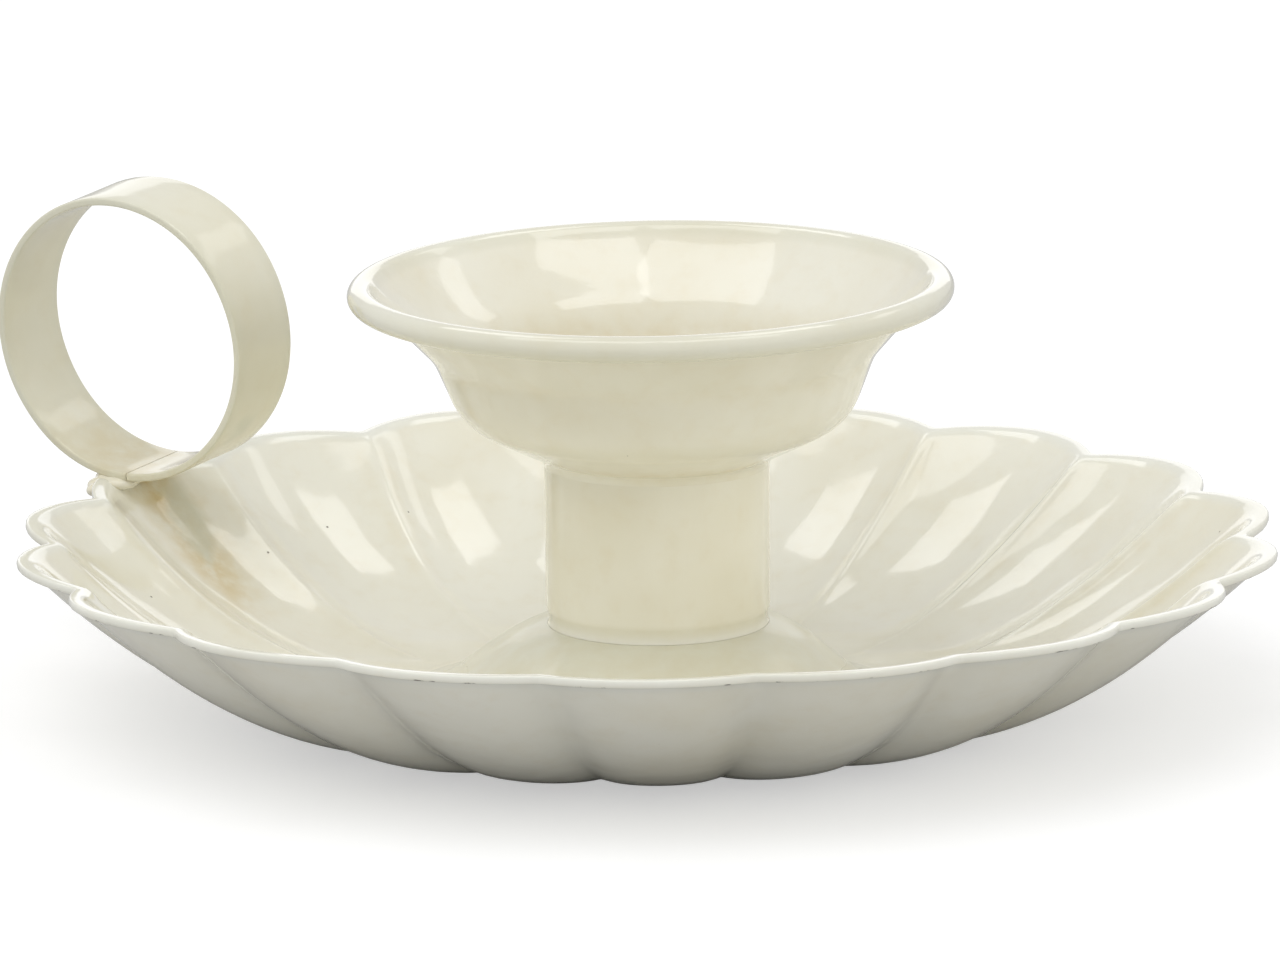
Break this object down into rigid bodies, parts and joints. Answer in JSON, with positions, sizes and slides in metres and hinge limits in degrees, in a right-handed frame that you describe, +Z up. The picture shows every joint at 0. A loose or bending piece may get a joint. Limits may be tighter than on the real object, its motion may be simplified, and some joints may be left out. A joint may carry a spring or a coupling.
{
  "type": "chamberstick",
  "caption": "Cream-lacquered sheet-metal chamberstick: fluted dish with a scalloped rim, candle socket under a flared drip cup, and a finger ring on the rim.",
  "frame": {"origin": "on the candle axis, in the plane of the flat ring that the dish stands on", "axes": "+Z up along the candle, -Y the front as pictured, +X to the right; the finger ring is at the back left"},
  "size_m": [0.1376, 0.1354, 0.0517],
  "materials": {
    "cream_lacquer": "gloss"
  },
  "bodies": {
    "root": {"dish": "cream_lacquer", "candle_socket": "cream_lacquer", "drip_cup": "cream_lacquer", "cup_braze": "cream_lacquer", "socket_rivet": "cream_lacquer", "finger_ring": "cream_lacquer", "ring_braze": "cream_lacquer"}
  },
  "joints": []
}
